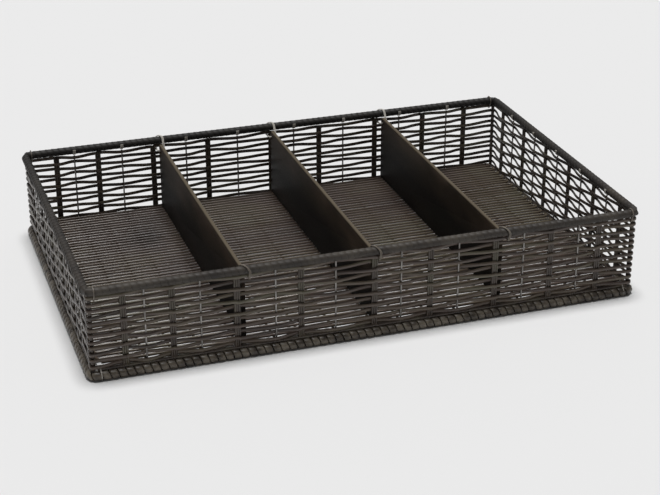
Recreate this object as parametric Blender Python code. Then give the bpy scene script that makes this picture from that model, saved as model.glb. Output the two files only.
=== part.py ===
"""Cutlery basket: plastic cord woven on a steel wire frame, with a wrapped rim and three dividers.

The basket stands on its foot border. X is its width, Y its depth (the front is at -Y) and Z is up.
The origin is on the ground, in the middle of the basket. Lengths are in metres.
"""
import math

import bmesh
import bpy
from mathutils import Matrix, Vector

# Overall size
BASKET_WIDTH = 0.530
BASKET_DEPTH = 0.335
RIM_TOP = 0.090

# Gap that every piece keeps to its neighbour
CLEARANCE = 0.0003

# Rim roll and foot border: cord and strip wound round a rod
RIM_DIAMETER = 0.009
RIM_CORE_DIAMETER = 0.005
FOOT_DIAMETER = 0.009
FOOT_CORE_DIAMETER = 0.004
CORNER_INNER_RADIUS = 0.001

# Wires of the frame
WIRE_DIAMETER = 0.002
STAKE_DIAMETER = 0.004
POST_DIAMETER = 0.004
BOTTOM_RAIL_DIAMETER = 0.003
BASE_WIRE_DIAMETER = 0.0025

# Depth that a thin wire is sunk into the rail it is welded to
WELD_DEPTH = 0.0006

# Weave: a row passes outside one upright and inside the next, and the row above it the other way
STRAND_DIAMETER = 0.0028
ROW_FACE_INSET = 0.0003
ROW_COUNT = 12
SHORT_BAYS = 12

# Places of the uprights of the long walls, as shares of the way from the middle to a corner post.
# They are set by hand, stake and wire in turn, and stand at the same places in front and at the back.
LONG_UPRIGHT_SHARES = (-0.886, -0.814, -0.720, -0.623, -0.496, -0.359, -0.268, -0.143, 0.0,
                       0.099, 0.209, 0.315, 0.456, 0.565, 0.672, 0.781, 0.862)

# Wires under the base that run along it
LONG_BASE_WIRES = 2

# Dividers and their lashings; the places are shares of the way from the middle to the end wall
DIVIDER_SHARES = (-0.476, 0.0, 0.493)
DIVIDER_THICKNESS = 0.0035
DIVIDER_TOP = 0.084
DIVIDER_EDGE_RADIUS = 0.0015
DIVIDER_CORNER_RADIUS = 0.004
LASHING_DIAMETER = 0.0012
LASHING_HOLE_DIAMETER = 0.0026
LASHING_HOLE_EDGE = 0.0045
LASHING_HOLE_DROP = 0.006

# Edges flatter than these angles, in degrees, are smooth or stay unbevelled
SMOOTH_ANGLE = 40
DIVIDER_BEVEL_ANGLE = 50

# Facets
ROLL_SIDES = 12
BORE_SIDES = 6
ROD_SIDES = 8
WIRE_SIDES = 6
ROLL_CORNER_STEPS = 4
ROW_CORNER_STEPS = 2
ROW_BEVEL_STEPS = 0
DIVIDER_CORNER_STEPS = 2
DIVIDER_EDGE_STEPS = 2
HOLE_SIDES = 8
RIM_TOUCH_STEPS = 6

# Sizes that follow from the ones above
RIM_RADIUS = RIM_DIAMETER / 2
FOOT_RADIUS = FOOT_DIAMETER / 2
STRAND_RADIUS = STRAND_DIAMETER / 2
STAKE_RADIUS = STAKE_DIAMETER / 2
WIRE_RADIUS = WIRE_DIAMETER / 2
POST_RADIUS = POST_DIAMETER / 2
BOTTOM_RAIL_RADIUS = BOTTOM_RAIL_DIAMETER / 2
LASHING_RADIUS = LASHING_DIAMETER / 2

RIM_HEIGHT = RIM_TOP - RIM_RADIUS
FOOT_HEIGHT = FOOT_RADIUS * math.cos(math.pi / ROLL_SIDES)
FOOT_TOP = FOOT_HEIGHT + FOOT_RADIUS

# Distance from the middle of an upright to the middle of a row that passes it
STAKE_PASS = STAKE_RADIUS + CLEARANCE + STRAND_RADIUS
WIRE_PASS = WIRE_RADIUS + CLEARANCE + STRAND_RADIUS
POST_PASS = POST_RADIUS + CLEARANCE + STRAND_RADIUS

# Insets are measured inwards from the outer face of the rim; at a corner post every row passes outside
UPRIGHT_INSET = ROW_FACE_INSET + STRAND_RADIUS + STAKE_PASS
ROW_CORNER_INSET = UPRIGHT_INSET - WIRE_PASS
POST_INSET = ROW_CORNER_INSET + POST_PASS
INSIDE_INSET = UPRIGHT_INSET + STAKE_PASS + STRAND_RADIUS + CLEARANCE
BOTTOM_RAIL_INSET = UPRIGHT_INSET + WIRE_RADIUS + BOTTOM_RAIL_RADIUS - WELD_DEPTH

BOTTOM_RAIL_REACH = FOOT_RADIUS + CLEARANCE + BOTTOM_RAIL_RADIUS
BOTTOM_RAIL_HEIGHT = FOOT_HEIGHT + math.sqrt(BOTTOM_RAIL_REACH ** 2 - (BOTTOM_RAIL_INSET - FOOT_RADIUS) ** 2)

UPRIGHT_BOTTOM = FOOT_TOP + CLEARANCE
UPRIGHT_TOP = RIM_HEIGHT - RIM_RADIUS - CLEARANCE

FIRST_ROW = BOTTOM_RAIL_HEIGHT + BOTTOM_RAIL_RADIUS + CLEARANCE + STRAND_RADIUS
LAST_ROW = UPRIGHT_TOP - STRAND_RADIUS
ROW_PITCH = (LAST_ROW - FIRST_ROW) / (ROW_COUNT - 1)

MAT_HEIGHT = BOTTOM_RAIL_HEIGHT + BASE_WIRE_DIAMETER / 2 + CLEARANCE + STRAND_RADIUS
DIVIDER_BOTTOM = MAT_HEIGHT + STRAND_RADIUS + CLEARANCE

POST_X = BASKET_WIDTH / 2 - POST_INSET
POST_Y = BASKET_DEPTH / 2 - POST_INSET
LONG_RUNS = [POST_X * share for share in LONG_UPRIGHT_SHARES]
SHORT_RUNS = [POST_Y * (2 * bay / SHORT_BAYS - 1) for bay in range(1, SHORT_BAYS)]

# Half the space inside the rows, where the base mat lies and the dividers stand
INNER_X = BASKET_WIDTH / 2 - INSIDE_INSET
INNER_Y = BASKET_DEPTH / 2 - INSIDE_INSET

# A tie goes round the rim and under the top row; a corner tie stands where the rim's corner begins
TIE_REACH = RIM_RADIUS + CLEARANCE + LASHING_RADIUS
TIE_BOTTOM = LAST_ROW - STRAND_RADIUS - CLEARANCE - LASHING_RADIUS
TIE_BEND = LASHING_DIAMETER
CORNER_TIE_X = BASKET_WIDTH / 2 - RIM_DIAMETER - CORNER_INNER_RADIUS - CLEARANCE - LASHING_RADIUS


def clear_scene():
    for item in list(bpy.data.objects):
        bpy.data.objects.remove(item, do_unlink=True)


def make_material(name, colour, roughness, metallic=0.0):
    material = bpy.data.materials.new(name)
    material.use_nodes = True
    shader = material.node_tree.nodes["Principled BSDF"]
    shader.inputs["Base Color"].default_value = (*colour, 1.0)
    shader.inputs["Roughness"].default_value = roughness
    shader.inputs["Metallic"].default_value = metallic
    return material


def add_object(name, mesh, material, location=(0.0, 0.0, 0.0)):
    item = bpy.data.objects.new(name, mesh)
    item.location = location
    bpy.context.scene.collection.objects.link(item)
    mesh.materials.append(material)
    return item


def finish_mesh(name, bm):
    """Turns a bmesh into a mesh with outward faces, smooth except at sharp edges."""
    bmesh.ops.recalc_face_normals(bm, faces=bm.faces)
    mesh = bpy.data.meshes.new(name)
    bm.to_mesh(mesh)
    bm.free()
    mesh.shade_smooth()
    mesh.set_sharp_from_angle(angle=math.radians(SMOOTH_ANGLE))
    return mesh


def add_rod(bm, start, end, radius, sides):
    """Adds a capped round rod from start to end, with a flat facet towards each cross axis."""
    start, end = Vector(start), Vector(end)
    along = end - start
    turn = along.to_track_quat("Z", "Y").to_matrix().to_4x4()
    half_facet = Matrix.Rotation(math.pi / sides, 4, "Z")
    place = Matrix.Translation((start + end) / 2) @ turn @ half_facet
    bmesh.ops.create_cone(bm, cap_ends=True, segments=sides, radius1=radius, radius2=radius,
                          depth=along.length, matrix=place)


def corner_arc(half_x, half_y, radius, corner, steps):
    """Points of one rounded corner, counted 0 to 3 anticlockwise from the front right."""
    sign_x = (1, 1, -1, -1)[corner]
    sign_y = (-1, 1, 1, -1)[corner]
    centre = Vector((sign_x * (half_x - radius), sign_y * (half_y - radius), 0.0))
    first = -math.pi / 2 + corner * math.pi / 2
    points = []
    for step in range(steps + 1):
        angle = first + step * math.pi / 2 / steps
        outward = Vector((math.cos(angle), math.sin(angle), 0.0))
        points.append((centre + radius * outward, outward))
    return points


def add_loop(bm, centre, outward, radius, sides):
    """Adds one ring of a tube, upright on its path, with a flat facet at the bottom."""
    verts = []
    for side in range(sides):
        angle = (side + 0.5) * 2 * math.pi / sides
        offset = math.sin(angle) * outward + math.cos(angle) * Vector((0.0, 0.0, 1.0))
        verts.append(bm.verts.new(centre + radius * offset))
    return [bm.edges.new((verts[side], verts[(side + 1) % sides])) for side in range(sides)]


def bridge(bm, loops, closed=False):
    """Joins each ring of edges to the next one with faces."""
    pairs = list(zip(loops, loops[1:]))
    if closed:
        pairs.append((loops[-1], loops[0]))
    for near, far in pairs:
        bmesh.ops.bridge_loops(bm, edges=near + far)


def wound_side(name, side, half_x, half_y, height, radius, bore_radius, material):
    """One side of the rim roll or foot border: a tube from the middle of one corner to the next."""
    corner_radius = radius + CORNER_INNER_RADIUS
    half_turn = ROLL_CORNER_STEPS // 2
    near = corner_arc(half_x, half_y, corner_radius, side, ROLL_CORNER_STEPS)
    far = corner_arc(half_x, half_y, corner_radius, (side + 1) % 4, ROLL_CORNER_STEPS)
    path = near[half_turn:] + far[:half_turn + 1]
    # Half the clearance comes off each end, so that two sides meet with one clearance between them
    trim = CLEARANCE / 2
    ends = []
    for (point, outward), way in ((path[0], 1), (path[-1], -1)):
        along = Vector((-outward.y, outward.x, 0.0)) * way
        ends.append((point + trim * along, outward))
    path[0], path[-1] = ends
    bm = bmesh.new()
    outer = []
    inner = []
    for point, outward in path:
        centre = point + Vector((0.0, 0.0, height))
        outer.append(add_loop(bm, centre, outward, radius, ROLL_SIDES))
        inner.append(add_loop(bm, centre, outward, bore_radius, BORE_SIDES))
    bridge(bm, outer)
    bridge(bm, inner)
    for end in (0, -1):
        bmesh.ops.triangle_fill(bm, use_beauty=True, edges=outer[end] + inner[end])
    return add_object(name, finish_mesh(name, bm), material)


def core_ring(name, half_x, half_y, height, roll_radius, radius, material):
    """The rod inside the rim or foot, bent to a closed rounded rectangle."""
    path = []
    for corner in range(4):
        path += corner_arc(half_x, half_y, roll_radius + CORNER_INNER_RADIUS, corner, ROLL_CORNER_STEPS)
    bm = bmesh.new()
    rise = Vector((0.0, 0.0, height))
    loops = [add_loop(bm, point + rise, outward, radius, BORE_SIDES) for point, outward in path]
    bridge(bm, loops, closed=True)
    return add_object(name, finish_mesh(name, bm), material)


def is_stake(number):
    """The uprights of a wall are counted from 1, and the odd ones are thick stakes."""
    return number % 2 == 1


def wall_frames():
    """The four walls in walking order, anticlockwise from above.

    Each has its name, the middle of its outer face, its outward side, its way along, the run from
    its middle to a corner post and the runs to its uprights.
    """
    half_x, half_y = BASKET_WIDTH / 2, BASKET_DEPTH / 2
    back_runs = [-run for run in reversed(LONG_RUNS)]
    return (
        ("right", Vector((half_x, 0, 0)), Vector((1, 0, 0)), Vector((0, 1, 0)), POST_Y, SHORT_RUNS),
        ("back", Vector((0, half_y, 0)), Vector((0, 1, 0)), Vector((-1, 0, 0)), POST_X, back_runs),
        ("left", Vector((-half_x, 0, 0)), Vector((-1, 0, 0)), Vector((0, -1, 0)), POST_Y, SHORT_RUNS),
        ("front", Vector((0, -half_y, 0)), Vector((0, -1, 0)), Vector((1, 0, 0)), POST_X, LONG_RUNS),
    )


def row_path(number):
    """Middle line of one row: round each corner post, then outside and inside the uprights in turn."""
    half_x = BASKET_WIDTH / 2 - ROW_CORNER_INSET
    half_y = BASKET_DEPTH / 2 - ROW_CORNER_INSET
    points = []
    for corner, (_, middle, outward, along, _, runs) in enumerate(wall_frames()):
        points += [point for point, _ in corner_arc(half_x, half_y, POST_PASS, corner, ROW_CORNER_STEPS)]
        for upright, run in enumerate(runs, start=1):
            passing = STAKE_PASS if is_stake(upright) else WIRE_PASS
            side = 1 if (upright + number) % 2 == 1 else -1
            points.append(middle + run * along + (side * passing - UPRIGHT_INSET) * outward)
    return points


def weaver_row(number, material):
    """One row of cord woven round the whole basket, as a closed tube."""
    name = f"weaver_row_{number:02d}"
    curve = bpy.data.curves.new(name, "CURVE")
    curve.dimensions = "3D"
    curve.twist_mode = "Z_UP"
    curve.bevel_depth = STRAND_RADIUS
    curve.bevel_resolution = ROW_BEVEL_STEPS
    spline = curve.splines.new("POLY")
    points = row_path(number)
    spline.points.add(len(points) - 1)
    for target, point in zip(spline.points, points):
        target.co = (*point, 1.0)
    spline.use_cyclic_u = True
    item = bpy.data.objects.new(name, curve)
    item.location = (0.0, 0.0, FIRST_ROW + (number - 1) * ROW_PITCH)
    bpy.context.scene.collection.objects.link(item)
    curve.materials.append(material)
    return item


def union_with(item, bm, name):
    """Welds the rods in bm to an object, with a hidden helper object."""
    mesh = finish_mesh(name, bm)
    helper = bpy.data.objects.new(name, mesh)
    bpy.context.scene.collection.objects.link(helper)
    helper.hide_render = True
    helper.display_type = "WIRE"
    weld = item.modifiers.new("weld", "BOOLEAN")
    weld.operation = "UNION"
    weld.solver = "EXACT"
    weld.object = helper


def cut_with(item, bm, name):
    """Cuts the shape in bm out of an object, with a hidden helper object."""
    union_with(item, bm, name)
    item.modifiers["weld"].operation = "DIFFERENCE"
    item.modifiers["weld"].name = "cut"


def wire_panel(frame, material):
    """One wall of the frame: thick stakes and thin wires in turn, welded to a rail along the foot."""
    side, middle, outward, along, half_run, runs = frame
    up = Vector((0.0, 0.0, 1.0))
    rail = bmesh.new()
    rail_end = half_run - POST_DIAMETER
    rail_line = middle - BOTTOM_RAIL_INSET * outward + BOTTOM_RAIL_HEIGHT * up
    add_rod(rail, rail_line - rail_end * along, rail_line + rail_end * along, BOTTOM_RAIL_RADIUS, ROD_SIDES)
    panel = add_object(f"{side}_wire_panel", finish_mesh(f"{side}_wire_panel", rail), material)
    uprights = bmesh.new()
    for number, run in enumerate(runs, start=1):
        place = middle - UPRIGHT_INSET * outward + run * along
        radius, sides = (STAKE_RADIUS, ROD_SIDES) if is_stake(number) else (WIRE_RADIUS, WIRE_SIDES)
        add_rod(uprights, place + UPRIGHT_BOTTOM * up, place + UPRIGHT_TOP * up, radius, sides)
    union_with(panel, uprights, f"{side}_uprights")
    return panel


def corner_post(name, sign_x, sign_y, material):
    bm = bmesh.new()
    foot = Vector((sign_x * POST_X, sign_y * POST_Y, 0.0))
    add_rod(bm, foot + Vector((0.0, 0.0, UPRIGHT_BOTTOM)), foot + Vector((0.0, 0.0, UPRIGHT_TOP)),
            POST_RADIUS, ROD_SIDES)
    return add_object(name, finish_mesh(name, bm), material)


def base_wire_panel(material):
    """The wires under the base: one from front to back at each upright, on long ones below."""
    radius = BASE_WIRE_DIAMETER / 2
    reach_x = BASKET_WIDTH / 2 - BOTTOM_RAIL_INSET - BOTTOM_RAIL_RADIUS - CLEARANCE
    reach_y = BASKET_DEPTH / 2 - BOTTOM_RAIL_INSET - BOTTOM_RAIL_RADIUS - CLEARANCE
    long_wires = bmesh.new()
    for wire in range(LONG_BASE_WIRES):
        y = (wire + 0.5 - LONG_BASE_WIRES / 2) * 2 * reach_y / LONG_BASE_WIRES
        low = BOTTOM_RAIL_HEIGHT - radius
        add_rod(long_wires, (-reach_x, y, low), (reach_x, y, low), radius, WIRE_SIDES)
    panel = add_object("base_wire_panel", finish_mesh("base_wire_panel", long_wires), material)
    cross_wires = bmesh.new()
    for x in LONG_RUNS:
        add_rod(cross_wires, (x, -reach_y, BOTTOM_RAIL_HEIGHT), (x, reach_y, BOTTOM_RAIL_HEIGHT),
                radius, WIRE_SIDES)
    union_with(panel, cross_wires, "base_cross_wires")
    return panel


def mat_path():
    """Middle line of the mat's cord: it runs along the basket and turns back at each end."""
    half_x = INNER_X - STRAND_RADIUS
    half_y = INNER_Y - STRAND_RADIUS
    turns = round(2 * half_y / ROW_PITCH)
    pitch = 2 * half_y / turns
    side = 1
    path = [(-half_x, -half_y)]
    for turn in range(turns):
        y = turn * pitch - half_y
        path.append((side * half_x, y))
        path.append((side * half_x, y + pitch))
        side = -side
    path.append((side * half_x, half_y))
    return [Vector((x, y, MAT_HEIGHT)) for x, y in path]


def base_mat(material):
    """One cord laid back and forth on the wires of the base, with the spacing of the rows."""
    path = mat_path()
    ways = [(far - near).normalized() for near, far in zip(path, path[1:])]
    bm = bmesh.new()
    loops = []
    for point, before, after in zip(path, ways[:1] + ways, ways + ways[-1:]):
        along = (before + after).normalized()
        # A ring between two straight pieces is wider across, so that both keep their thickness
        sideways = Vector((-along.y, along.x, 0.0)) / along.dot(after)
        loops.append(add_loop(bm, point, sideways, STRAND_RADIUS, WIRE_SIDES))
    bridge(bm, loops)
    for end in (0, -1):
        bmesh.ops.edgeloop_fill(bm, edges=loops[end])
    return add_object("base_mat", finish_mesh("base_mat", bm), material)


def divider(name, x, material):
    """A board with a rounded top edge, rounded upper corners and a lashing hole near each of them."""
    outline = [(-INNER_Y, DIVIDER_BOTTOM), (INNER_Y, DIVIDER_BOTTOM)]
    corner_y = INNER_Y - DIVIDER_CORNER_RADIUS
    corner_z = DIVIDER_TOP - DIVIDER_CORNER_RADIUS
    for sign, start in ((1, 0.0), (-1, math.pi / 2)):
        for step in range(DIVIDER_CORNER_STEPS + 1):
            angle = start + step * math.pi / 2 / DIVIDER_CORNER_STEPS
            outline.append((sign * corner_y + DIVIDER_CORNER_RADIUS * math.cos(angle),
                            corner_z + DIVIDER_CORNER_RADIUS * math.sin(angle)))
    bm = bmesh.new()
    face = bm.faces.new([bm.verts.new((-DIVIDER_THICKNESS / 2, y, z)) for y, z in outline])
    drawn = bmesh.ops.extrude_face_region(bm, geom=[face])
    moved = [piece for piece in drawn["geom"] if isinstance(piece, bmesh.types.BMVert)]
    bmesh.ops.translate(bm, verts=moved, vec=(DIVIDER_THICKNESS, 0.0, 0.0))
    board = add_object(name, finish_mesh(name, bm), material, location=(x, 0.0, 0.0))
    edge = board.modifiers.new("rounded edge", "BEVEL")
    edge.width = DIVIDER_EDGE_RADIUS
    edge.segments = DIVIDER_EDGE_STEPS
    edge.limit_method = "ANGLE"
    edge.angle_limit = math.radians(DIVIDER_BEVEL_ANGLE)
    holes = bmesh.new()
    for sign in (1, -1):
        hole_y = sign * (INNER_Y - LASHING_HOLE_EDGE)
        add_rod(holes, (x - DIVIDER_THICKNESS, hole_y, DIVIDER_TOP - LASHING_HOLE_DROP),
                (x + DIVIDER_THICKNESS, hole_y, DIVIDER_TOP - LASHING_HOLE_DROP),
                LASHING_HOLE_DIAMETER / 2, HOLE_SIDES)
    cut_with(board, holes, f"{name}_holes")
    return board


def angle_of(vector):
    """Angle of a flat vector from the outward side, from zero to a full turn."""
    return math.atan2(vector.y, vector.x) % (2 * math.pi)


def arc_points(centre, reach, start, end, steps):
    points = []
    for step in range(steps + 1):
        angle = start + (end - start) * step / steps
        points.append(centre + reach * Vector((math.cos(angle), math.sin(angle))))
    return points


def tie_path(hole=None):
    """Points of a cord under the top row, up outside and over the rim, seen along a long wall.

    They are flat vectors, outwards and up. The list begins and ends at the hole, or without one on
    the inner side of the rim. The second value is the number of points before the rim.
    """
    rim = Vector((BASKET_DEPTH / 2 - RIM_RADIUS, RIM_HEIGHT))
    inside = rim.x - TIE_REACH
    outside = rim.x + TIE_REACH
    if hole is None:
        below = [Vector((inside, TIE_BOTTOM + TIE_BEND)), Vector((inside + TIE_BEND, TIE_BOTTOM))]
        rim_end = math.pi
    else:
        below = [hole, Vector((inside, TIE_BOTTOM))]
        rim_end = angle_of(hole - rim) - math.acos(TIE_REACH / (hole - rim).length)
    below.append(Vector((outside - TIE_BEND, TIE_BOTTOM)))
    below.append(Vector((outside, TIE_BOTTOM + TIE_BEND)))
    return below + arc_points(rim, TIE_REACH, 0.0, rim_end, RIM_TOUCH_STEPS), len(below)


def lashing_path(side):
    """A cord from the hole in a divider, under the top row, up outside, over the rim and back.

    It comes up on one side of the divider, crosses over on the rim and goes down on the other side.
    """
    hole = Vector((INNER_Y - LASHING_HOLE_EDGE, DIVIDER_TOP - LASHING_HOLE_DROP))
    spread = STAKE_RADIUS + 2 * CLEARANCE + LASHING_RADIUS
    points, before_rim = tie_path(hole)
    flat = []
    for number, point in enumerate(points):
        over = max(0, number - before_rim)
        flat.append((spread * math.cos(math.pi * over / RIM_TOUCH_STEPS), point))
    flat.append((-spread, hole))
    return [Vector((across, side * point.x, point.y)) for across, point in flat]


def corner_tie_path(side):
    """A cord in one loop round the top row and the rim."""
    points, _ = tie_path()
    return [Vector((0.0, side * point.x, point.y)) for point in points]


def tie_cord(name, x, points, material):
    """A closed loop of binding cord."""
    curve = bpy.data.curves.new(name, "CURVE")
    curve.dimensions = "3D"
    curve.bevel_depth = LASHING_RADIUS
    curve.bevel_resolution = 0
    spline = curve.splines.new("POLY")
    spline.points.add(len(points) - 1)
    for target, point in zip(spline.points, points):
        target.co = (*point, 1.0)
    spline.use_cyclic_u = True
    item = bpy.data.objects.new(name, curve)
    item.location = (x, 0.0, 0.0)
    bpy.context.scene.collection.objects.link(item)
    curve.materials.append(material)
    return item


def build():
    clear_scene()
    cord = make_material("woven plastic cord", (0.030, 0.023, 0.018), 0.38)
    strip = make_material("wound plastic strip", (0.036, 0.028, 0.021), 0.42)
    steel = make_material("black coated steel wire", (0.012, 0.011, 0.010), 0.45)
    board = make_material("brown lacquered board", (0.022, 0.017, 0.013), 0.30)
    tie = make_material("binding cord", (0.060, 0.048, 0.036), 0.50)

    rim_x = BASKET_WIDTH / 2 - RIM_RADIUS
    rim_y = BASKET_DEPTH / 2 - RIM_RADIUS
    foot_x = BASKET_WIDTH / 2 - FOOT_RADIUS
    foot_y = BASKET_DEPTH / 2 - FOOT_RADIUS
    frames = wall_frames()
    for side, frame in enumerate(frames):
        wound_side(f"rim_wrap_{frame[0]}", side, rim_x, rim_y, RIM_HEIGHT, RIM_RADIUS,
                   RIM_CORE_DIAMETER / 2 + CLEARANCE, strip)
        wound_side(f"foot_border_{frame[0]}", side, foot_x, foot_y, FOOT_HEIGHT, FOOT_RADIUS,
                   FOOT_CORE_DIAMETER / 2 + CLEARANCE, cord)
        wire_panel(frame, steel)
    core_ring("rim_core_rod", rim_x, rim_y, RIM_HEIGHT, RIM_RADIUS, RIM_CORE_DIAMETER / 2, steel)
    core_ring("foot_core_rod", foot_x, foot_y, FOOT_HEIGHT, FOOT_RADIUS, FOOT_CORE_DIAMETER / 2, steel)
    for name_y, sign_y in (("front", -1), ("back", 1)):
        for name_x, sign_x in (("left", -1), ("right", 1)):
            corner_post(f"corner_post_{name_y}_{name_x}", sign_x, sign_y, steel)
            tie_cord(f"corner_tie_{name_y}_{name_x}", sign_x * CORNER_TIE_X, corner_tie_path(sign_y), tie)
    base_wire_panel(steel)
    base_mat(cord)
    for number in range(1, ROW_COUNT + 1):
        weaver_row(number, cord)
    for number, share in enumerate(DIVIDER_SHARES, start=1):
        x = share * INNER_X
        divider(f"divider_{number}", x, board)
        for name_y, side in (("front", -1), ("back", 1)):
            tie_cord(f"divider_lashing_{number}_{name_y}", x, lashing_path(side), tie)


build()
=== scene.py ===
# %% [markdown]
# # A woven buffet basket
#
# The object is a low buffet basket with four compartments. Brown plastic cord is woven on a frame of steel
# rods and wires, flat strip is wound round the rim and flat cord round the foot, and three boards part the
# inside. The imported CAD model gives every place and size. Each piece here is laid over it, finer than the
# CAD shows it.

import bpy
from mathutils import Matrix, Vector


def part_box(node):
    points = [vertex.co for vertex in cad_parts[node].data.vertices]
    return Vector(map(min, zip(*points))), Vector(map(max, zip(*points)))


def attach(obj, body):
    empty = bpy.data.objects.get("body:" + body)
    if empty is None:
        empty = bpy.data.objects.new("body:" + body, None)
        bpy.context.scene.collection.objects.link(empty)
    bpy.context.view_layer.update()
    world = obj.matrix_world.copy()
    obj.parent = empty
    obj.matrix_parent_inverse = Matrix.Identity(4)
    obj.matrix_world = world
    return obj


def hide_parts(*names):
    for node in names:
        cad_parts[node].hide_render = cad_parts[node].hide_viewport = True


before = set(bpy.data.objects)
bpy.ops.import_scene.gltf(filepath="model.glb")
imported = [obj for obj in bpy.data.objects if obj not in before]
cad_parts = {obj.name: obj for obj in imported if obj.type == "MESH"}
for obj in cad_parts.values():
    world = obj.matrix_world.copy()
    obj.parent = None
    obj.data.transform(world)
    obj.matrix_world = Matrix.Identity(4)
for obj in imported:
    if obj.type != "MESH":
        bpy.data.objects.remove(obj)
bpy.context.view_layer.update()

# %% Other modules, and millimetres
import math
import random
from collections import namedtuple

import bpy
from mathutils import Matrix, Vector

MM = 0.001


def in_mm(value):
    return round(value / MM, 2)


# %% [markdown]
# ## Sizes read from the frame
#
# The boxes of a few CAD nodes give the heights that the pieces share. An inset is measured inwards from the
# rim's outer face. The wall stands about a millimetre further in than in the CAD, because in the photograph
# the rim stands out over it. The uprights have hand-set places, so those of the long walls are repeated
# here from the CAD, as shares of the way from the middle to a corner post.

# %% Sizes
OUTER_X = 265.0 * MM
OUTER_Y = 167.5 * MM
RIM_INSET = 4.5 * MM
UPRIGHT_INSET = 6.3 * MM
CORNER_ROW_INSET = 4.2 * MM
POST_INSET = 7.1 * MM
RAIL_INSET = 7.2 * MM
RAIL_HEIGHT = 9.5 * MM
RAIL_RADIUS = 2.1 * MM
POST_RADIUS = 1.8 * MM
WIRE_RADIUS = 0.85 * MM
STAKE_RADIUS = 1.0 * MM
STAKE_RODS = (-1.9 * MM, 0.0, 1.9 * MM)
POST_X = OUTER_X - POST_INSET
POST_Y = OUTER_Y - POST_INSET
# The CAD's posts stand a little further out; its shares are measured to them
CAD_POST_X = 258.6 * MM
CAD_POST_Y = 161.1 * MM
LONG_SHARES = (-0.886, -0.814, -0.720, -0.623, -0.496, -0.359, -0.268, -0.143, 0.0,
               0.099, 0.209, 0.315, 0.456, 0.565, 0.672, 0.781, 0.862)
SHORT_BAYS = 12
LONG_RUNS = [CAD_POST_X * share for share in LONG_SHARES]
BACK_RUNS = [-run for run in reversed(LONG_RUNS)]
SHORT_RUNS = [CAD_POST_Y * (2 * bay / SHORT_BAYS - 1) for bay in range(1, SHORT_BAYS)]


def middle_height(node):
    low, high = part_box(node)
    return (low.z + high.z) / 2


RIM_HEIGHT = middle_height("rim_wrap_front")
FOOT_HEIGHT = middle_height("foot_border_front")
ROW_HEIGHTS = [middle_height(f"weaver_row_{n:02d}") for n in range(1, 13)]
TOP_ROW = ROW_HEIGHTS[-1]
UPRIGHT_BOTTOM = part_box("corner_post_front_left")[0].z
UPRIGHT_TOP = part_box("corner_post_front_left")[1].z
print("rim at", in_mm(RIM_HEIGHT), "foot at", in_mm(FOOT_HEIGHT), "rows at", [in_mm(z) for z in ROW_HEIGHTS])

# The reach of a wall goes from the basket's middle out to the rim's face, and its half run from its own
# middle to a corner post. Runs are measured along the wall, anticlockwise seen from above
Wall = namedtuple("Wall", "name outward along reach half_run runs")
RIGHT = Wall("right", Vector((1, 0, 0)), Vector((0, 1, 0)), OUTER_X, POST_Y, SHORT_RUNS)
BACK = Wall("back", Vector((0, 1, 0)), Vector((-1, 0, 0)), OUTER_Y, POST_X, BACK_RUNS)
LEFT = Wall("left", Vector((-1, 0, 0)), Vector((0, -1, 0)), OUTER_X, POST_Y, SHORT_RUNS)
FRONT = Wall("front", Vector((0, -1, 0)), Vector((1, 0, 0)), OUTER_Y, POST_X, LONG_RUNS)
WALLS = (RIGHT, BACK, LEFT, FRONT)


def on_wall(wall, run, inset, height):
    """The point of a wall at a run along it, an inset from the rim's outer face and a height."""
    return wall.outward * (wall.reach - inset) + wall.along * run + Vector((0, 0, height))


# %% [markdown]
# ## The stage
#
# The basket stands on a pale floor without a horizon. The camera looks down at 25 degrees from the front, a
# little to the left, from 1.6 m, which is what its outline in the photograph gives. A broad lamp hangs
# right above, so that only a narrow soft shadow lies round the foot. The room above is dim, with a pale
# wall far behind. So dark glossy plastic shows the pale floor on its lower side and stays black on top, as
# it does in the photograph.

# %% Helpers for colours and nodes


def colour(code):
    """An sRGB colour written as hex, turned to the linear light that shaders work in."""
    shares = [int(code[i:i + 2], 16) / 255 for i in (0, 2, 4)]
    linear = [c / 12.92 if c <= 0.04045 else ((c + 0.055) / 1.055) ** 2.4 for c in shares]
    return (*linear, 1.0)


def add_node(tree, kind, settings=None, links=None):
    """Adds a node. Settings name its options or sockets, and links name the outputs that feed its sockets."""
    node = tree.nodes.new(kind)
    for name, value in (settings or {}).items():
        if isinstance(name, int) or name in node.inputs:
            node.inputs[name].default_value = value
        else:
            setattr(node, name, value)
    for name, source in (links or {}).items():
        tree.links.new(source, node.inputs[name])
    return node


# %% Camera
EYE = Vector((-447.8, -1357.6, 688.8)) * MM
TARGET = Vector((22.7, 31.0, -1.2)) * MM
bpy.ops.object.select_all(action="DESELECT")
bpy.ops.object.camera_add(location=EYE, rotation=(TARGET - EYE).to_track_quat("-Z", "Y").to_euler())
camera = bpy.context.object
camera.data.sensor_width = 36.0
camera.data.lens = 86.54
camera.data.clip_end = 60.0
bpy.context.scene.camera = camera
print("camera", in_mm((TARGET - EYE).length), "mm away, lens", camera.data.lens)

# %% Floor
bpy.ops.mesh.primitive_plane_add(size=40.0)
floor = bpy.context.object
floor.name = "studio_floor"
paper = bpy.data.materials.new("pale studio paper")
paper.use_nodes = True
paper.node_tree.nodes["Principled BSDF"].inputs["Base Color"].default_value = colour("E3E3E3")
paper.node_tree.nodes["Principled BSDF"].inputs["Roughness"].default_value = 1.0
paper.node_tree.nodes["Principled BSDF"].inputs["Specular IOR Level"].default_value = 0.0
floor.data.materials.append(paper)
print("floor of", paper.name)

# %% Lamp and surroundings
TOWARDS_LAMP = Vector((0.01, 0.05, 1.0))
bpy.ops.object.light_add(type="SUN", rotation=TOWARDS_LAMP.to_track_quat("Z", "Y").to_euler())
lamp = bpy.context.object
lamp.data.energy = 3.0
lamp.data.angle = math.radians(19)

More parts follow.
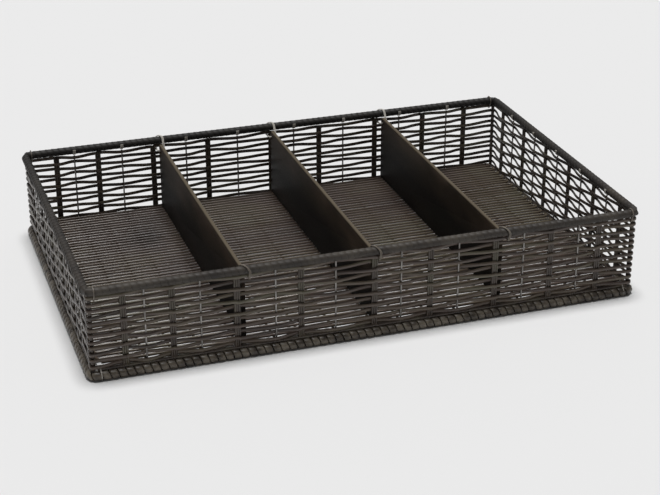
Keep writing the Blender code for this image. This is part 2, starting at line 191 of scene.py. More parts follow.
world = bpy.data.worlds.new("studio")
bpy.context.scene.world = world
world.use_nodes = True
tree = world.node_tree
tree.nodes.clear()
# A pale wall glows far behind the basket, low over the floor, and the rest of the room is dim
direction = add_node(tree, "ShaderNodeTexCoord")
axes = add_node(tree, "ShaderNodeSeparateXYZ", links={0: direction.outputs["Generated"]})
behind = add_node(tree, "ShaderNodeMapRange",
                  {"From Min": 0.0, "From Max": 0.9, "To Min": 0.10, "To Max": 0.55},
                  {"Value": axes.outputs["Y"]})
low_down = add_node(tree, "ShaderNodeMapRange",
                    {"From Min": 0.15, "From Max": 0.60, "To Min": 1.0, "To Max": 0.0},
                    {"Value": axes.outputs["Z"]})
wall_glow = add_node(tree, "ShaderNodeMath", {"operation": "MULTIPLY"},
                     {0: behind.outputs["Result"], 1: low_down.outputs["Result"]})
room = add_node(tree, "ShaderNodeMath", {"operation": "ADD", 1: 0.12}, {0: wall_glow.outputs[0]})
# The camera itself sees one even pale tone
ray = add_node(tree, "ShaderNodeLightPath")
around = add_node(tree, "ShaderNodeBackground", links={"Strength": room.outputs[0]})
seen = add_node(tree, "ShaderNodeBackground", {"Color": colour("E8E8E8")})
mixed = add_node(tree, "ShaderNodeMixShader",
                 links={0: ray.outputs["Is Camera Ray"], 1: around.outputs[0], 2: seen.outputs[0]})
add_node(tree, "ShaderNodeOutputWorld", links={"Surface": mixed.outputs[0]})
bpy.context.scene.view_settings.view_transform = "Standard"
print("lamp of strength", lamp.data.energy, "over the basket, in the world", world.name)

# %% [markdown]
# ## Finishes
#
# The cord and the strip are extruded polyethylene, dyed through. The cord is glossy and the strip duller.
# Fine lines from the die break up the gloss, and the shade drifts from one length to the next. The stakes,
# rails and posts are steel rods in a coat of the same plastic. The thin wires are bare steel, drawn and
# darkened, so they glint. The boards are painted nearly black, with painted light that makes them paler
# along the top. The binding cord is thin and brown. Above the wires, round the foot and in the lashings at
# the back it is painted pale, as a painted highlight. Painted shade darkens the strip towards the back.

# %% Helpers for finishes


def new_finish(name, roughness):
    """A material with a Principled shader and an IOR of 1.5, and the coordinates that its patterns use."""
    material = bpy.data.materials.new(name)
    material.use_nodes = True
    tree = material.node_tree
    shader = tree.nodes["Principled BSDF"]
    shader.inputs["Roughness"].default_value = roughness
    shader.inputs["IOR"].default_value = 1.5
    return material, tree, shader, add_node(tree, "ShaderNodeTexCoord")


def noise(tree, source, scale, detail=2.0):
    """A noise pattern on coordinates that are stretched first, with a scale for each axis."""
    stretched = add_node(tree, "ShaderNodeMapping", {"Scale": scale}, {"Vector": source})
    pattern = add_node(tree, "ShaderNodeTexNoise", {"Scale": 1.0, "Detail": detail},
                       {"Vector": stretched.outputs[0]})
    return pattern.outputs["Fac"]


def remap(tree, value, low, high, start=0.0, end=1.0):
    """A value led from the range start to end into the range low to high."""
    settings = {"From Min": start, "From Max": end, "To Min": low, "To Max": high}
    return add_node(tree, "ShaderNodeMapRange", settings, {"Value": value}).outputs["Result"]


def shaded(tree, shades, amount):
    """Shades made darker or lighter by an amount."""
    product = add_node(tree, "ShaderNodeMix", {"data_type": "RGBA", "blend_type": "MULTIPLY", "Factor": 1.0},
                       {6: shades, 7: amount})
    return product.outputs[2]


def drifting_shades(tree, place, scale, stops):
    """Colours that change slowly from place to place: a soft noise read through a ramp of hex colours."""
    drift = noise(tree, place.outputs["Object"], scale)
    shades = add_node(tree, "ShaderNodeValToRGB", links={"Fac": drift})
    ramp = shades.color_ramp
    ramp.elements[0].position, ramp.elements[0].color = stops[0][0], colour(stops[0][1])
    ramp.elements[1].position, ramp.elements[1].color = stops[-1][0], colour(stops[-1][1])
    for position, code in stops[1:-1]:
        ramp.elements.new(position).color = colour(code)
    return shades.outputs["Color"]


def set_surface(tree, shader, pattern, smooth, rough, strength, depth):
    """Lets a pattern move the roughness between two values and raise a fine relief."""
    tree.links.new(remap(tree, pattern, smooth, rough), shader.inputs["Roughness"])
    relief = add_node(tree, "ShaderNodeBump", {"Strength": strength, "Distance": depth}, {"Height": pattern})
    tree.links.new(relief.outputs["Normal"], shader.inputs["Normal"])


# %% Extruded polyethylene


def extruded(name, roughness, shade_scale, stops, line_source, line_scale):
    """Extruded plastic: the shade drifts, and fine lines from the die break up the gloss along the length."""
    material, tree, shader, place = new_finish(name, roughness)
    shades = drifting_shades(tree, place, shade_scale, stops)
    lines = noise(tree, place.outputs[line_source], line_scale, 3.0)
    tree.links.new(shaded(tree, shades, remap(tree, lines, 0.75, 1.25)), shader.inputs["Base Color"])
    set_surface(tree, shader, lines, roughness - 0.08, roughness + 0.10, 0.25, 0.15 * MM)
    return material


def paint_shade_backwards(material):
    """Painted shade: a finish's colour falls off from the front to the back, so that the rim at the back is
    nearly black.
    """
    tree = material.node_tree
    shader = tree.nodes["Principled BSDF"]
    place = add_node(tree, "ShaderNodeTexCoord")
    axes = add_node(tree, "ShaderNodeSeparateXYZ", links={0: place.outputs["Object"]})
    depth = remap(tree, axes.outputs["Y"], 1.0, 0.28, -0.12, 0.16)
    plain = shader.inputs["Base Color"].links[0].from_socket
    tree.links.new(shaded(tree, plain, depth), shader.inputs["Base Color"])


# The rows lie above each other, so a pattern squeezed in height gives each row its own shades. On a cord the
# lines follow its UV map, 14 round it and 60 along it. On a row that makes them 0.6 mm wide and 3 cm long,
# where the die's real lines are hundredths of a millimetre wide and wouldn't show. A pattern on Object
# coordinates doesn't follow a coil, so the strip and the foot cord have patches of 2 to 4 mm instead.
CORD = extruded("brown extruded polyethylene cord", 0.28, (9.0, 9.0, 170.0),
                ((0.30, "352C26"), (0.44, "4E423B"), (0.56, "554A3E"), (0.70, "5B5646")),
                "UV", (60.0, 14.0, 1.0))
FOOT_CORD = extruded("dark extruded polyethylene cord", 0.36, (110.0, 110.0, 110.0),
                     ((0.34, "38312A"), (0.50, "554D43"), (0.66, "6E665A")), "Object", (400.0, 400.0, 400.0))
STRIP = extruded("flat extruded polyethylene strip", 0.62, (40.0, 40.0, 40.0),
                 ((0.30, "231E1A"), (0.50, "312B25"), (0.72, "423C34")), "Object", (300.0, 300.0, 300.0))
# Painted shade: the strip's colour darkens towards the back of the basket, where the rim stands in shade
paint_shade_backwards(STRIP)
# Painted highlight: a pale copy of the brown binding cord, for where the cord catches the light
PAINTED_HIGHLIGHT_TIE = extruded("undyed polyethylene binding cord", 0.40, (60.0, 60.0, 60.0),
               ((0.35, "B4AFA6"), (0.65, "D2CEC6")), "UV", (60.0, 14.0, 1.0))
BROWN_TIE = extruded("brown polyethylene binding cord", 0.45, (60.0, 60.0, 60.0),
                     ((0.35, "5E564D"), (0.65, "7A7268")), "UV", (60.0, 14.0, 1.0))
# On an upright rod the lines run up it, each about 0.7 mm wide and 33 mm long
COAT = extruded("steel rod in an extruded polyethylene coat", 0.28, (60.0, 60.0, 25.0),
                ((0.30, "382F29"), (0.50, "4A4038"), (0.70, "565142")), "Object", (1500.0, 1500.0, 30.0))

# %% Drawn steel wire


def drawn_steel(name):
    """Wire pulled through a die and darkened: grey patches, and scratches along it that make it glint."""
    material, tree, shader, place = new_finish(name, 0.30)
    shader.inputs["Metallic"].default_value = 1.0
    stops = ((0.30, "6E6A66"), (0.55, "8A8784"), (0.75, "A09C98"))
    tree.links.new(drifting_shades(tree, place, (80.0, 80.0, 80.0), stops), shader.inputs["Base Color"])
    # Real draw marks are hundredths of a millimetre wide. These are 0.4 mm, so that they show
    marks = noise(tree, place.outputs["Object"], (2500.0, 2500.0, 60.0))
    set_surface(tree, shader, marks, 0.22, 0.40, 0.15, 0.03 * MM)
    return material


STEEL = drawn_steel("drawn and darkened steel wire")

# %% Painted board


def painted_board(name):
    """Thin board under dark paint: faint clouds, a little grit, and painted light that makes it paler towards
    its upper edge.
    """
    material, tree, shader, place = new_finish(name, 0.55)
    shader.inputs["Specular IOR Level"].default_value = 0.08
    stops = ((0.30, "1E1812"), (0.50, "2A221B"), (0.75, "3A3127"))
    clouds = drifting_shades(tree, place, (20.0, 12.0, 30.0), stops)
    height = add_node(tree, "ShaderNodeSeparateXYZ", links={0: place.outputs["Object"]}).outputs["Z"]
    # Painted light: the colour gets paler over the last 35 mm under the edge, where more light from above
    # reaches the face
    painted_light_face = shaded(tree, clouds, remap(tree, height, 0.35, 3.0, 48 * MM, 83 * MM))
    # Painted light: the rounded top of the edge, which faces the light from above, is paler still
    painted_light_edge = add_node(tree, "ShaderNodeMix", {"data_type": "RGBA", 7: colour("5E5548")},
                      {0: remap(tree, height, 0.0, 1.0, 82.6 * MM, 83.9 * MM), 6: painted_light_face})
    tree.links.new(painted_light_edge.outputs[2], shader.inputs["Base Color"])
    # The grit of the paint is drawn 2 mm wide, which is coarser than the real one, so that it shows
    grit = noise(tree, place.outputs["Object"], (500.0, 500.0, 500.0))
    set_surface(tree, shader, grit, 0.48, 0.64, 0.2, 0.05 * MM)
    return material


BOARD = painted_board("dark painted board")
print("finishes:", [m.name for m in (CORD, FOOT_CORD, STRIP, PAINTED_HIGHLIGHT_TIE, BROWN_TIE, COAT, STEEL, BOARD)])

# %% [markdown]
# ## Helpers for modelling
#
# An operator acts on everything that is selected, and a loaded model comes in selected. So each step starts
# by leaving selected only what it works on. A finished piece sits at the origin with its place in its mesh.

# %% Selecting, placing and finishing
SMOOTH_ANGLE = math.radians(50)


def pick(*pieces):
    """Leaves only these pieces selected, the first one active, in object mode."""
    if bpy.context.mode != "OBJECT":
        bpy.ops.object.mode_set(mode="OBJECT")
    bpy.ops.object.select_all(action="DESELECT")
    for piece in pieces:
        piece.select_set(True)
    bpy.context.view_layer.objects.active = pieces[0] if pieces else None


def apply_place(piece):
    pick(piece)
    bpy.ops.object.transform_apply(location=True, rotation=True, scale=True)


def apply_modifier(piece, kind, **settings):
    pick(piece)
    modifier = piece.modifiers.new("step", kind)
    for name, value in settings.items():
        setattr(modifier, name, value)
    bpy.ops.object.modifier_apply(modifier=modifier.name)


def copy_to(piece, matrix):
    """A copy with its own mesh, moved by a matrix."""
    twin = piece.copy()
    twin.data = piece.data.copy()
    twin.data.transform(matrix)
    bpy.context.scene.collection.objects.link(twin)
    return twin


def join(pieces):
    pick(*pieces)
    bpy.ops.object.join()
    return bpy.context.object


def finish(piece, name, material, slot, *nodes):
    """Names a piece, smooths it, gives it its finish and fixes it to the basket in place of its CAD nodes."""
    apply_place(piece)
    bpy.ops.object.shade_smooth_by_angle(angle=SMOOTH_ANGLE)
    piece.name = name
    piece.data.name = name
    piece.data.materials.clear()
    piece.data.materials.append(material)
    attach(piece, "root")
    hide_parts(*nodes)
    print(name, len(piece.data.polygons), "faces, box in mm", [in_mm(v) for v in piece.dimensions])
    return piece


# %% Rods and cords


def rod(start, end, radius, sides=16):
    """A round rod between two points: a cylinder whose end edges are then rounded."""
    pick()
    start, end = Vector(start), Vector(end)
    turn = (end - start).to_track_quat("Z", "Y").to_euler()
    bpy.ops.mesh.primitive_cylinder_add(vertices=sides, radius=radius, depth=(end - start).length,
                                        location=(start + end) / 2, rotation=turn)
    piece = bpy.context.object
    apply_place(piece)
    apply_modifier(piece, "BEVEL", width=radius * 0.35, segments=2, limit_method="ANGLE",
                   angle_limit=math.radians(60))
    return piece


def cord_through(points, radius, closed=True, round_steps=2, twist="Z_UP"):
    """A round cord whose middle line goes through the points, with its UV map along and round it."""
    pick()
    bpy.ops.mesh.primitive_circle_add(vertices=len(points), radius=10 * MM)
    piece = bpy.context.object
    for vertex, point in zip(piece.data.vertices, points):
        vertex.co = point
    piece.location = (0, 0, 0)
    if not closed:
        last = len(points) - 1
        bpy.ops.object.mode_set(mode="EDIT")
        bpy.ops.mesh.select_all(action="DESELECT")
        bpy.ops.object.mode_set(mode="OBJECT")
        for edge in piece.data.edges:
            edge.select = set(edge.vertices) == {0, last}
        bpy.ops.object.mode_set(mode="EDIT")
        bpy.ops.mesh.select_mode(type="EDGE")
        bpy.ops.mesh.delete(type="EDGE")
        bpy.ops.object.mode_set(mode="OBJECT")
    bpy.ops.object.convert(target="CURVE")
    line = bpy.context.object.data
    line.dimensions = "3D"
    line.twist_mode = twist
    line.bevel_depth = radius
    line.bevel_resolution = round_steps
    line.use_fill_caps = not closed
    bpy.ops.object.convert(target="MESH")
    return bpy.context.object


# %% [markdown]
# ## The rim
#
# The rim is a flat plastic strip, 7 mm wide, wound turn upon turn round a steel rod, one edge of each turn
# lying over its neighbour. A strip section is drawn as a small plate, chamfered and tilted. The Screw
# modifier winds it into a straight coil as long as the rim, and the Curve modifier bends the coil round the
# outline. Modelling the turns keeps the little steps that catch the light, which a smooth tube with a bump
# map would lose at its silhouette.

# %% The outline that the rim and the foot follow, and what is wound along it
OUTLINE_CORNER = 5.5 * MM


def rounded_outline(height):
    """The middle line of the rim or the foot as a curve: a plane with bevelled corners, without its face."""
    pick()
    bpy.ops.mesh.primitive_plane_add(size=1, location=(0, 0, height))
    plane = bpy.context.object
    plane.scale = (2 * (OUTER_X - RIM_INSET), 2 * (OUTER_Y - RIM_INSET), 1)
    apply_place(plane)
    bpy.ops.object.mode_set(mode="EDIT")
    bpy.ops.mesh.select_all(action="SELECT")
    bpy.ops.mesh.bevel(offset=OUTLINE_CORNER, segments=8, affect="VERTICES")
    bpy.ops.mesh.delete(type="ONLY_FACE")
    bpy.ops.object.mode_set(mode="OBJECT")
    bpy.ops.object.convert(target="CURVE")
    outline = bpy.context.object
    outline.data.dimensions = "3D"
    outline.data.twist_mode = "Z_UP"
    return outline


def flat_section(width, thickness, corner, segments):
    """A face as wide as a strip or cord and as high as it is thick, with bevelled or rounded corners."""
    pick()
    bpy.ops.mesh.primitive_plane_add(size=1, rotation=(math.radians(90), 0, 0))
    section = bpy.context.object
    section.scale = (width, thickness, 1)
    apply_place(section)
    bpy.ops.object.mode_set(mode="EDIT")
    bpy.ops.mesh.select_all(action="SELECT")
    bpy.ops.mesh.bevel(offset=corner, segments=segments, affect="VERTICES")
    bpy.ops.object.mode_set(mode="OBJECT")
    return section


def wind_round(section, outline, turns, steps):
    """Winds a section, drawn at the top of its first turn, into a coil that follows an outline."""
    length = outline.data.splines[0].calc_length()
    apply_modifier(section, "SCREW", axis="X", screw_offset=length / turns, iterations=turns, steps=steps,
                   render_steps=steps)
    bpy.ops.object.mode_set(mode="EDIT")
    bpy.ops.mesh.select_all(action="SELECT")
    bpy.ops.mesh.fill_holes(sides=16)
    bpy.ops.mesh.normals_make_consistent(inside=False)
    bpy.ops.object.mode_set(mode="OBJECT")
    apply_modifier(section, "CURVE", object=outline, deform_axis="POS_X")
    print("wound", turns, "turns over", in_mm(length), "mm")
    return section


# %% Wind the strip
RIM_RADIUS = 4.1 * MM
STRIP_WIDTH = 7.0 * MM
STRIP_THICKNESS = 0.45 * MM
STRIP_TILT = math.radians(-2.4)
STRIP_TURNS = 270

rim_line = rounded_outline(RIM_HEIGHT)
strip = flat_section(STRIP_WIDTH, STRIP_THICKNESS, 0.15 * MM, 1)
# The tilt lifts one edge of a turn, so that it lies over the low edge of the next
strip.rotation_euler = (0, STRIP_TILT, 0)
strip.location = (0, 0, RIM_RADIUS - STRIP_THICKNESS)
apply_place(strip)
wind_round(strip, rim_line, STRIP_TURNS, 18)
finish(strip, "rim_strip", STRIP, "wound_strip",
       "rim_wrap_right", "rim_wrap_back", "rim_wrap_left", "rim_wrap_front")

# %% [markdown]
# ## The foot
#
# Round the foot a flat cord is wound over a second rod, turn beside turn, and the frame stands on this roll.
# Its section is a low bar with rounded corners, wound in the same way as the strip. What the eye gets from
# it is a dark roll with soft, upright swellings about 7 mm apart.

# %% Wind the foot cord
FOOT_CORD_REACH = 3.2 * MM
FOOT_CORD_WIDTH = 6.7 * MM
FOOT_CORD_THICKNESS = 2.2 * MM
FOOT_CORD_ROUNDING = 1.0 * MM
FOOT_TURNS = 230

foot_line = rounded_outline(FOOT_HEIGHT)
foot_cord = flat_section(FOOT_CORD_WIDTH, FOOT_CORD_THICKNESS, FOOT_CORD_ROUNDING, 3)
foot_cord.location = (0, 0, FOOT_CORD_REACH)
apply_place(foot_cord)
wind_round(foot_cord, foot_line, FOOT_TURNS, 16)
finish(foot_cord, "foot_cord", FOOT_CORD, "woven_cord",
       "foot_border_right", "foot_border_back", "foot_border_left", "foot_border_front")

# %% [markdown]
# ## The wire frame
#
# Each wall has a rail along its foot, and stakes and thin bare wires rise from it in turn, all in one plane
# under the rim. A stake is three thin coated rods side by side, which gives the broad dark columns of the
# photograph and lets the rows stay nearly level. One rod and one wire are modelled per wall and copied to
# their places. A coated post stands in each corner, and the rows turn round it.

# %% Walls of wire
for wall in WALLS:
    stake = rod((0, 0, UPRIGHT_BOTTOM), (0, 0, UPRIGHT_TOP), STAKE_RADIUS)
    wire = rod((0, 0, UPRIGHT_BOTTOM), (0, 0, UPRIGHT_TOP), WIRE_RADIUS, sides=12)
    stakes, wires = [], []
    for number, run in enumerate(wall.runs, start=1):
        if number % 2:
            for aside in STAKE_RODS:
                place = on_wall(wall, run + aside, UPRIGHT_INSET, 0)
                stakes.append(copy_to(stake, Matrix.Translation(place)))
        else:
            wires.append(copy_to(wire, Matrix.Translation(on_wall(wall, run, UPRIGHT_INSET, 0))))
    for sample in (stake, wire):
        bpy.data.objects.remove(sample)
    rail_end = wall.half_run - 2 * POST_RADIUS
    stakes.append(rod(on_wall(wall, -rail_end, RAIL_INSET, RAIL_HEIGHT),
                      on_wall(wall, rail_end, RAIL_INSET, RAIL_HEIGHT), RAIL_RADIUS))
    finish(join(wires), f"{wall.name}_wires", STEEL, "coated_wire", f"{wall.name}_wire_panel")
    finish(join(stakes), f"{wall.name}_stakes", COAT, "coated_wire", f"{wall.name}_wire_panel")

# %% Corner posts
for end_y, sign_y in (("front", -1), ("back", 1)):
    for end_x, sign_x in (("left", -1), ("right", 1)):
        x, y = sign_x * POST_X, sign_y * POST_Y
        post = rod((x, y, UPRIGHT_BOTTOM), (x, y, UPRIGHT_TOP), POST_RADIUS)
        finish(post, f"post_{end_y}_{end_x}", COAT, "coated_wire", f"corner_post_{end_y}_{end_x}")

# %% [markdown]
# ## The weave
#
# It is a plain weave. Each of the twelve rows passes outside one upright and inside the next, and the row
# above it does the opposite, so every row waves in and out along a wall, and all rows go outside the corner
# posts. A wave swings a little wider at a stake than at a wire, because the cord has more to clear. The cord
# is laid as a round one and then pressed: an oval, 1.5 mm through the wall and 3.4 mm up it. Hand work shows
# in small ups and downs, which are drawn from a seeded random series.

# %% The middle line of a row
CORD_RADIUS = 0.75 * MM
PRESSED = 2.3
CORD_HALF_HEIGHT = 1.72 * MM
CORD_GAP = 0.05 * MM
# The press stretches these ups and downs too
START_LIFT = 0.2 * MM
LIFT = 0.25 * MM
SWEEP_STEPS = 6
CORNER_STEPS = 6


def sweep(first, last, share):
    """Moves from one value to the next with a smooth start and end."""
    return first + (last - first) * (1 - math.cos(math.pi * share)) / 2


def stops_along(wall, row):
    """The run and the inset of a row at each upright of a wall and at the post at its end."""
    stops = []
    for number, run in enumerate(wall.runs, start=1):
        radius, asides = (STAKE_RADIUS, STAKE_RODS) if number % 2 else (WIRE_RADIUS, (0,))
        clear = radius + CORD_RADIUS + CORD_GAP
        inset = UPRIGHT_INSET + (clear if (number + row) % 2 == 0 else -clear)
        stops += [(run + aside, inset) for aside in asides]
    return stops + [(wall.half_run, CORNER_ROW_INSET)]


def row_points(row, height, hand):
    """Points of one row, round the corner posts and in and out along the four walls."""
    points = []
    turn = POST_INSET - CORNER_ROW_INSET
    start_lift = hand.uniform(-START_LIFT, START_LIFT)
    lift = start_lift
    for wall in WALLS:
        post = on_wall(wall, -wall.half_run, POST_INSET, height)
        for step in range(CORNER_STEPS + 1):
            angle = math.pi / 2 * step / CORNER_STEPS
            side = math.sin(angle) * wall.outward - math.cos(angle) * wall.along
            points.append(post + turn * side + Vector((0, 0, lift)))
        run, inset = -wall.half_run, CORNER_ROW_INSET
        for next_run, next_inset in stops_along(wall, row):
            # A row ends where it began, so its last stop takes the first lift
            ends = wall is FRONT and next_run == wall.half_run
            next_lift = start_lift if ends else hand.uniform(-LIFT, LIFT)
            for step in range(1, SWEEP_STEPS + 1):
                share = step / SWEEP_STEPS
                if next_run < wall.half_run or step < SWEEP_STEPS:
                    z = height + sweep(lift, next_lift, share)
                    depth = sweep(inset, next_inset, share)
                    points.append(on_wall(wall, run + (next_run - run) * share, depth, z))
            run, inset, lift = next_run, next_inset, next_lift
    return points


# %% Weave the rows
hand = random.Random(7)
for number, height in enumerate(ROW_HEIGHTS, start=1):
    row = cord_through(row_points(number, height, hand), CORD_RADIUS)
    pick(row)
    bpy.ops.transform.resize(value=(1, 1, PRESSED), center_override=(0, 0, height))
    finish(row, f"cord_row_{number:02d}", CORD, "woven_cord", f"weaver_row_{number:02d}")

# %% [markdown]
# ## Ties
#
# At each thin wire a cord, painted pale as a highlight, is passed three times round the rod in the rim, so
# that three short arcs show on the rim's inner side, above the wire. In each corner a loop holds the rim to
# the top row. The foot is tied to the rail behind it near the corners, with the same pale cord. A loop goes
# round two rods or cords, so its middle line is two arcs joined by straight runs.

# %% Helpers for loops
LOOP_STEPS = 8


def arc(centre, reach, start, end, steps):
    """Points of an arc in the plane (inset, height), with its angles in degrees from the inward side."""
    angles = [math.radians(start + (end - start) * step / steps) for step in range(steps + 1)]
    return [centre + reach * Vector((math.cos(angle), math.sin(angle))) for angle in angles]


def loop_round(first, first_reach, second, second_reach):
    """Points of a loop round two circles in the plane (inset, height)."""
    apart = second - first
    base = math.degrees(math.atan2(apart.y, apart.x))
    lean = math.degrees(math.acos((first_reach - second_reach) / apart.length))
    return (arc(first, first_reach, base + lean, base + 360 - lean, LOOP_STEPS)
            + arc(second, second_reach, base - lean, base + lean, LOOP_STEPS))


TIE_RADIUS = 0.5 * MM
LASH_RADIUS = 0.55 * MM
LASH_BEND = 1.2 * MM
LASH_INSET = 2.4 * MM
LASH_STEPS = 12
rim_centre = Vector((RIM_INSET, RIM_HEIGHT))
foot_centre = Vector((RIM_INSET, FOOT_HEIGHT))
rail_centre = Vector((RAIL_INSET, RAIL_HEIGHT))
top_row_centre = Vector((CORNER_ROW_INSET, TOP_ROW))


def tangent(point, reach, side):
    """The angle at which a straight run from a point meets the circle round the rim, on one side of it."""
    away = point - rim_centre
    return math.degrees(math.atan2(away.y, away.x) + side * math.acos(reach / away.length))


def lashing_line(reach, low, hole):
    """Points from a hole, under and up outside the top row, and over the rim to where the way back begins."""
    below = [hole, Vector((RIM_INSET + reach, low))]
    below += arc(Vector((LASH_INSET + LASH_BEND, low + LASH_BEND)), LASH_BEND, 270, 180, 3)
    start = tangent(below[-1], reach, -1) + 360
    return below, arc(rim_centre, reach, start, tangent(hole, reach, 1), LASH_STEPS)


# %% Arcs on the rim above each thin wire
RIM_TIE_ASIDES = (-1.05 * MM, 0.0, 1.05 * MM)
RIM_TIE_REACH = RIM_RADIUS + 0.15 * MM
RIM_TIE_FIRST = 25
RIM_TIE_LAST = -75

rim_ties = []
for wall in WALLS:
    for run in wall.runs[1::2]:
        for aside in RIM_TIE_ASIDES:
            points = [on_wall(wall, run + aside, point.x, point.y)
                      for point in arc(rim_centre, RIM_TIE_REACH, RIM_TIE_FIRST, RIM_TIE_LAST, LOOP_STEPS)]
            rim_ties.append(cord_through(points, TIE_RADIUS, closed=False, round_steps=1, twist="MINIMUM"))
finish(join(rim_ties), "rim_ties", PAINTED_HIGHLIGHT_TIE, "binding_cord")

# %% Loops in the corners
CORNER_LOOP_INSET = 10.9 * MM
CORNER_RIM_REACH = RIM_RADIUS + 0.7 * MM
CORNER_ROW_REACH = CORD_HALF_HEIGHT + 0.3 * MM

for wall in (FRONT, BACK):
    for end_x, sign_x in (("left", -1), ("right", 1)):
        run = sign_x * wall.along.x * (OUTER_X - CORNER_LOOP_INSET)
        points = [on_wall(wall, run, point.x, point.y)
                  for point in loop_round(rim_centre, CORNER_RIM_REACH, top_row_centre, CORNER_ROW_REACH)]
        loop_cord = cord_through(points, LASH_RADIUS, round_steps=1, twist="MINIMUM")
        finish(loop_cord, f"corner_loop_{wall.name}_{end_x}", BROWN_TIE, "binding_cord",
               f"corner_tie_{wall.name}_{end_x}")

# %% Ties round the foot
FOOT_TIE_FROM_POST = 6 * MM
# As far out as the ground allows
FOOT_TIE_REACH = 3.85 * MM

foot_ties = []
for wall in (BACK, FRONT):
    for run in (FOOT_TIE_FROM_POST - POST_X, POST_X - FOOT_TIE_FROM_POST):
        points = [on_wall(wall, run, point.x, point.y)
                  for point in loop_round(foot_centre, FOOT_TIE_REACH, rail_centre, RAIL_RADIUS + TIE_RADIUS)]
        foot_ties.append(cord_through(points, TIE_RADIUS, round_steps=1, twist="MINIMUM"))
finish(join(foot_ties), "foot_ties", PAINTED_HIGHLIGHT_TIE, "binding_cord")

# %% [markdown]
# ## The base
#
# One cord is laid back and forth on the wires of the base, its runs about as far apart as the rows of the
# walls. Its bends at the two ends are half circles. Seen from above the base is open between the runs, and
# seen as in the photograph, from low in front, one run hides the gap behind it.

# %% Base wires
base_low, base_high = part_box("base_wire_panel")
# The radii of the wires under the cord and of the four along the edge
BASE_WIRE = 1.2 * MM
FRAME_WIRE = 1.3 * MM
FRAME_INSET = 10.5 * MM
cross_height = (base_low.z + base_high.z) / 2 + BASE_WIRE / 2
reach_x = OUTER_X - FRAME_INSET
reach_y = OUTER_Y - FRAME_INSET
low_wire = cross_height - BASE_WIRE
base_parts = [rod((run, -reach_y, cross_height), (run, reach_y, cross_height), BASE_WIRE, sides=12)
              for run in LONG_RUNS]
base_parts += [rod((-reach_x, y, low_wire), (reach_x, y, low_wire), BASE_WIRE, sides=12)
               for y in (base_low.y / 2, base_high.y / 2)]
for sign in (-1, 1):
    x, y = sign * reach_x, sign * reach_y
    base_parts.append(rod((-reach_x, y, cross_height), (reach_x, y, cross_height), FRAME_WIRE, sides=12))
    base_parts.append(rod((x, -reach_y, cross_height), (x, reach_y, cross_height), FRAME_WIRE, sides=12))
finish(join(base_parts), "base_wires", STEEL, "coated_wire", "base_wire_panel")

# %% Base cord
BASE_CORD_RADIUS = 1.36 * MM
CAD_CORD_RADIUS = 1.4 * MM
BASE_CORD_SWAY = 0.25 * MM
MAT_RUNS = 52
MAT_STEPS = 12
BEND_STEPS = 6

mat_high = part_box("base_mat")[1]
mat_height = middle_height("base_mat")
half_x = mat_high.x - CAD_CORD_RADIUS
half_y = mat_high.y - CAD_CORD_RADIUS
mat_pitch = 2 * half_y / (MAT_RUNS - 1)
straight = half_x - mat_pitch / 2
points = []
side = 1
for number in range(MAT_RUNS):
    y = number * mat_pitch - half_y
    for step in range(MAT_STEPS + 1):
        x = side * straight * (2 * step / MAT_STEPS - 1)
        points.append(Vector((x, y + hand.uniform(-BASE_CORD_SWAY, BASE_CORD_SWAY), mat_height)))
    if number < MAT_RUNS - 1:
        for step in range(1, BEND_STEPS):
            angle = math.radians(180 * step / BEND_STEPS - 90)
            points.append(Vector((side * (straight + mat_pitch / 2 * math.cos(angle)),
                                  y + mat_pitch / 2 * (1 + math.sin(angle)), mat_height)))
    side = -side
finish(cord_through(points, BASE_CORD_RADIUS, closed=False), "base_cord", CORD, "woven_cord", "base_mat")

# %% [markdown]
# ## Dividers
#
# Three thin boards part the basket. Each is a plate with rounded upper corners, a softly rounded edge and a
# hole near each upper corner, through which it is lashed to the rim and the top row.

# %% Boards
HOLE_EDGE = 4.5 * MM
HOLE_DROP = 6.0 * MM
HOLE_RADIUS = 1.4 * MM
CORNER_RADIUS = 4.0 * MM
EDGE_RADIUS = 1.3 * MM

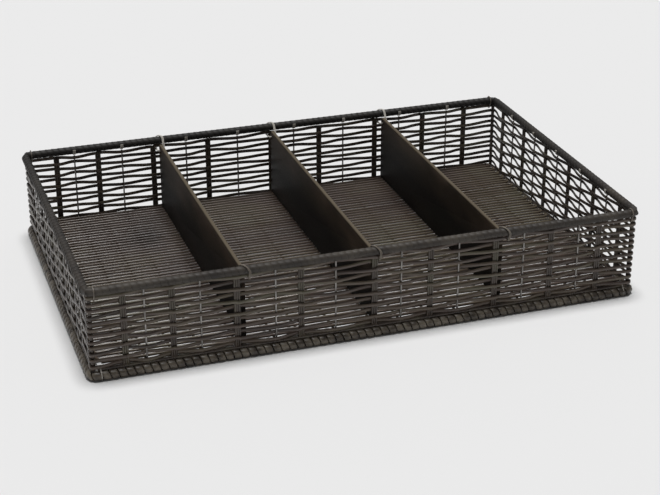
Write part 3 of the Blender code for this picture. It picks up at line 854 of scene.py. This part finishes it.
for number in range(1, 4):
    low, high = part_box(f"divider_{number}")
    pick()
    bpy.ops.mesh.primitive_cube_add(size=1, location=(low + high) / 2)
    board = bpy.context.object
    board.scale = high - low
    apply_place(board)
    bpy.ops.object.mode_set(mode="EDIT")
    bpy.ops.mesh.select_all(action="DESELECT")
    bpy.ops.mesh.select_mode(type="EDGE")
    bpy.ops.object.mode_set(mode="OBJECT")
    # Of the edges that cross the board's thickness, the two upper ones are its upper corners
    corners = board.data.vertices
    for edge in board.data.edges:
        a, b = (corners[v].co for v in edge.vertices)
        edge.select = abs(a.x - b.x) > 1 * MM and min(a.z, b.z) > high.z - 1 * MM
    bpy.ops.object.mode_set(mode="EDIT")
    bpy.ops.mesh.bevel(offset=CORNER_RADIUS, segments=6)
    bpy.ops.object.mode_set(mode="OBJECT")
    for sign in (-1, 1):
        pick()
        hole = ((low.x + high.x) / 2, sign * (high.y - HOLE_EDGE), high.z - HOLE_DROP)
        bpy.ops.mesh.primitive_cylinder_add(vertices=24, radius=HOLE_RADIUS, depth=10 * MM, location=hole,
                                            rotation=(0, math.radians(90), 0))
        drill = bpy.context.object
        apply_place(drill)
        apply_modifier(board, "BOOLEAN", object=drill, operation="DIFFERENCE", solver="EXACT")
        bpy.data.objects.remove(drill)
    apply_modifier(board, "BEVEL", width=EDGE_RADIUS, segments=4, limit_method="ANGLE",
                   angle_limit=math.radians(50))
    finish(board, f"board_{number}", BOARD, "divider_board", f"divider_{number}")

# %% [markdown]
# ## Lashings
#
# Each board end is lashed with two turns of cord: from the hole under the top row, up outside, over the rim
# and down on the other side of the board. The way over the rim is where a turn crosses from one side of the
# board to the other.

# %% Lash the boards
# Where each turn lies along the wall, outside the row and then on its way back, and how far above the hole's
# middle it goes through
LASHING_TURNS = ((3.0 * MM, -2.45 * MM, -0.6 * MM), (4.15 * MM, -3.6 * MM, 0.6 * MM))


def lashing_points(wall, middle, hole, outside, inside, rise):
    """A turn of a lashing: it leaves the hole on one side of the board and comes back on the other side."""
    reach = RIM_RADIUS + LASH_RADIUS + 0.2 * MM
    low = TOP_ROW - CORD_HALF_HEIGHT - LASH_RADIUS - 0.1 * MM
    below, over = lashing_line(reach, low, hole + Vector((0, rise)))
    points = [on_wall(wall, middle + outside, point.x, point.y) for point in below]
    for step, point in enumerate(over):
        points.append(on_wall(wall, middle + sweep(outside, inside, step / LASH_STEPS), point.x, point.y))
    points.append(on_wall(wall, middle + inside, hole.x, hole.y + rise))
    return points


for number in range(1, 4):
    low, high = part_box(f"divider_{number}")
    for wall in (FRONT, BACK):
        middle = (low.x + high.x) / 2 * wall.along.x
        hole = Vector((OUTER_Y - (high.y - HOLE_EDGE), high.z - HOLE_DROP))
        lines = [lashing_points(wall, middle, hole, *turn) for turn in LASHING_TURNS]
        turns = [cord_through(line, LASH_RADIUS, round_steps=1, twist="MINIMUM") for line in lines]
        # Painted highlight: the lashings at the back take the pale copy of the cord, and those in front keep
        # its brown
        cord = PAINTED_HIGHLIGHT_TIE if wall is BACK else BROWN_TIE
        finish(join(turns), f"lashing_{number}_{wall.name}", cord, "binding_cord",
               f"divider_lashing_{number}_{wall.name}")

# %% [markdown]
# ## Finish
#
# The rods inside the rim and the foot stay as the CAD has them, with the steel finish. The helper curves
# go.

# %% Rods inside the rim and the foot
for name in ("rim_core_rod", "foot_core_rod"):
    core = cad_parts[name]
    core.data.materials.clear()
    core.data.materials.append(STEEL)
for helper in (rim_line, foot_line):
    bpy.data.objects.remove(helper)
